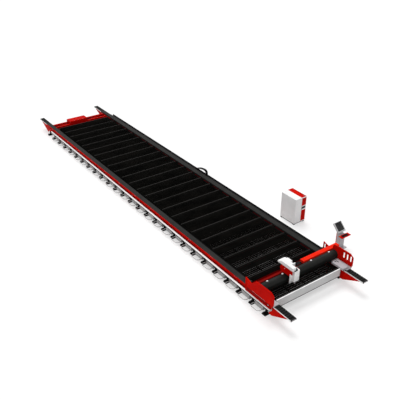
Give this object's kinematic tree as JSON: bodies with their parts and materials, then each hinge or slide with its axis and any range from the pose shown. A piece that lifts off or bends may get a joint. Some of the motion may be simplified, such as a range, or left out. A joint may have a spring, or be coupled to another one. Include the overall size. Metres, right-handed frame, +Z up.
{
  "type": "fiber laser cutting machine",
  "caption": "Long slat-bed fiber laser cutting machine with travelling gantry, cutting head, pull-out slag carts, power cabinet and operator console.",
  "frame": {"origin": "on the floor at the middle foot under the bed's middle cross frame, midway between the side beams", "axes": "+X along the bed towards the end where the gantry is parked, +Y across the bed towards the cabinet and console, +Z up"},
  "size_m": [29.32, 7.73, 1.9],
  "materials": {
    "red_paint": "gloss",
    "white_paint": "satin",
    "cabinet_paint": "satin",
    "console_paint": "satin",
    "silver_paint": "satin",
    "black_paint": "satin",
    "black_steel": "matte",
    "slat_steel": "matte",
    "grey_steel": "matte",
    "bright_steel": "brushed",
    "cart_steel": "matte",
    "dark_bellows": "satin",
    "black_plastic": "matte",
    "console_plastic": "satin",
    "red_plastic": "gloss"
  },
  "bodies": {
    "bed": {"left_side_beam": "red_paint", "right_side_beam": "red_paint", "left_rail_cover": "dark_bellows", "right_rail_cover": "dark_bellows", "levelling_feet": "black_steel", "cart_rails": "black_steel", "cross_frames": "red_paint", "bed_stringers": "black_steel", "support_slats": "slat_steel", "module_bars": "grey_steel", "front_panel": "white_paint", "rear_frame": "red_paint", "side_duct": "white_paint", "travel_rails": "bright_steel", "gear_racks": "bright_steel", "cable_trough": "black_steel", "cable_chain": "black_plastic", "far_slag_carts": "cart_steel", "cabinet_body": "cabinet_paint", "laser_source": "black_paint", "cabinet_cladding": "red_paint", "cabinet_feet": "black_steel", "console_column": "console_paint", "monitor_neck": "red_paint"},
    "gantry": {"left_end_plate": "red_paint", "right_end_plate": "red_paint", "gantry_beam": "red_paint", "beam_hood": "black_steel", "hood_blocks": "white_paint", "gantry_trucks": "silver_paint", "bearing_blocks": "bright_steel", "drive_motors": "black_paint", "lower_tray": "red_paint", "upper_tray": "red_paint", "cross_chain": "black_plastic", "cross_rails": "bright_steel"},
    "carriage": {"carriage_frame": "red_paint", "carriage_cover": "white_paint", "lift_plate": "white_paint", "head_housing": "white_paint"},
    "head": {"cutting_head": "black_paint"},
    "door": {"cabinet_door": "cabinet_paint"},
    "screen": {"monitor": "console_plastic"},
    "shelf": {"keyboard_shelf": "red_paint", "keyboard": "black_plastic"},
    "button": {"stop_button": "red_plastic"},
    "slag_cart_01": {"slag_cart_01": "cart_steel"},
    "slag_cart_02": {"slag_cart_02": "cart_steel"},
    "slag_cart_03": {"slag_cart_03": "cart_steel"},
    "slag_cart_04": {"slag_cart_04": "cart_steel"},
    "slag_cart_05": {"slag_cart_05": "cart_steel"},
    "slag_cart_06": {"slag_cart_06": "cart_steel"},
    "slag_cart_07": {"slag_cart_07": "cart_steel"},
    "slag_cart_08": {"slag_cart_08": "cart_steel"},
    "slag_cart_09": {"slag_cart_09": "cart_steel"},
    "slag_cart_10": {"slag_cart_10": "cart_steel"},
    "slag_cart_11": {"slag_cart_11": "cart_steel"},
    "slag_cart_12": {"slag_cart_12": "cart_steel"},
    "slag_cart_13": {"slag_cart_13": "cart_steel"},
    "slag_cart_14": {"slag_cart_14": "cart_steel"}
  },
  "joints": [
    {"name": "gantry_travel", "type": "slide", "parent": "bed", "child": "gantry", "axis": [1, 0, 0], "range_m": [-24, 0]},
    {"name": "carriage_travel", "type": "slide", "parent": "gantry", "child": "carriage", "axis": [0, 1, 0], "range_m": [-1.05, 2.35]},
    {"name": "head_lift", "type": "slide", "parent": "carriage", "child": "head", "axis": [0, 0, 1], "range_m": [0, 0.24]},
    {"name": "cabinet_door_swing", "type": "hinge", "parent": "bed", "child": "door", "pos_m": [7.996, 3.99, 0], "axis": [0, 0, -1], "range_deg": [0, 110]},
    {"name": "monitor_tilt", "type": "hinge", "parent": "bed", "child": "screen", "pos_m": [10.855, 4.54, 1.11], "axis": [0, 1, 0], "range_deg": [-20, 15]},
    {"name": "shelf_fold", "type": "hinge", "parent": "bed", "child": "shelf", "pos_m": [11.246, 4.54, 0.838], "axis": [0, 1, 0], "range_deg": [0, 80]},
    {"name": "stop_button_press", "type": "slide", "parent": "shelf", "child": "button", "axis": [0, 0, -1], "range_m": [0, 0.006], "stiffness_N_per_m": 800},
    {"name": "slag_cart_01_pull", "type": "slide", "parent": "bed", "child": "slag_cart_01", "axis": [0, -1, 0], "range_m": [0, 2.3]},
    {"name": "slag_cart_02_pull", "type": "slide", "parent": "bed", "child": "slag_cart_02", "axis": [0, -1, 0], "range_m": [0, 2.3]},
    {"name": "slag_cart_03_pull", "type": "slide", "parent": "bed", "child": "slag_cart_03", "axis": [0, -1, 0], "range_m": [0, 2.3]},
    {"name": "slag_cart_04_pull", "type": "slide", "parent": "bed", "child": "slag_cart_04", "axis": [0, -1, 0], "range_m": [0, 2.3]},
    {"name": "slag_cart_05_pull", "type": "slide", "parent": "bed", "child": "slag_cart_05", "axis": [0, -1, 0], "range_m": [0, 2.3]},
    {"name": "slag_cart_06_pull", "type": "slide", "parent": "bed", "child": "slag_cart_06", "axis": [0, -1, 0], "range_m": [0, 2.3]},
    {"name": "slag_cart_07_pull", "type": "slide", "parent": "bed", "child": "slag_cart_07", "axis": [0, -1, 0], "range_m": [0, 2.3]},
    {"name": "slag_cart_08_pull", "type": "slide", "parent": "bed", "child": "slag_cart_08", "axis": [0, -1, 0], "range_m": [0, 2.3]},
    {"name": "slag_cart_09_pull", "type": "slide", "parent": "bed", "child": "slag_cart_09", "axis": [0, -1, 0], "range_m": [0, 2.3]},
    {"name": "slag_cart_10_pull", "type": "slide", "parent": "bed", "child": "slag_cart_10", "axis": [0, -1, 0], "range_m": [0, 2.3]},
    {"name": "slag_cart_11_pull", "type": "slide", "parent": "bed", "child": "slag_cart_11", "axis": [0, -1, 0], "range_m": [0, 2.3]},
    {"name": "slag_cart_12_pull", "type": "slide", "parent": "bed", "child": "slag_cart_12", "axis": [0, -1, 0], "range_m": [0, 2.3]},
    {"name": "slag_cart_13_pull", "type": "slide", "parent": "bed", "child": "slag_cart_13", "axis": [0, -1, 0], "range_m": [0, 2.3]},
    {"name": "slag_cart_14_pull", "type": "slide", "parent": "bed", "child": "slag_cart_14", "axis": [0, -1, 0], "range_m": [0, 2.3]}
  ]
}
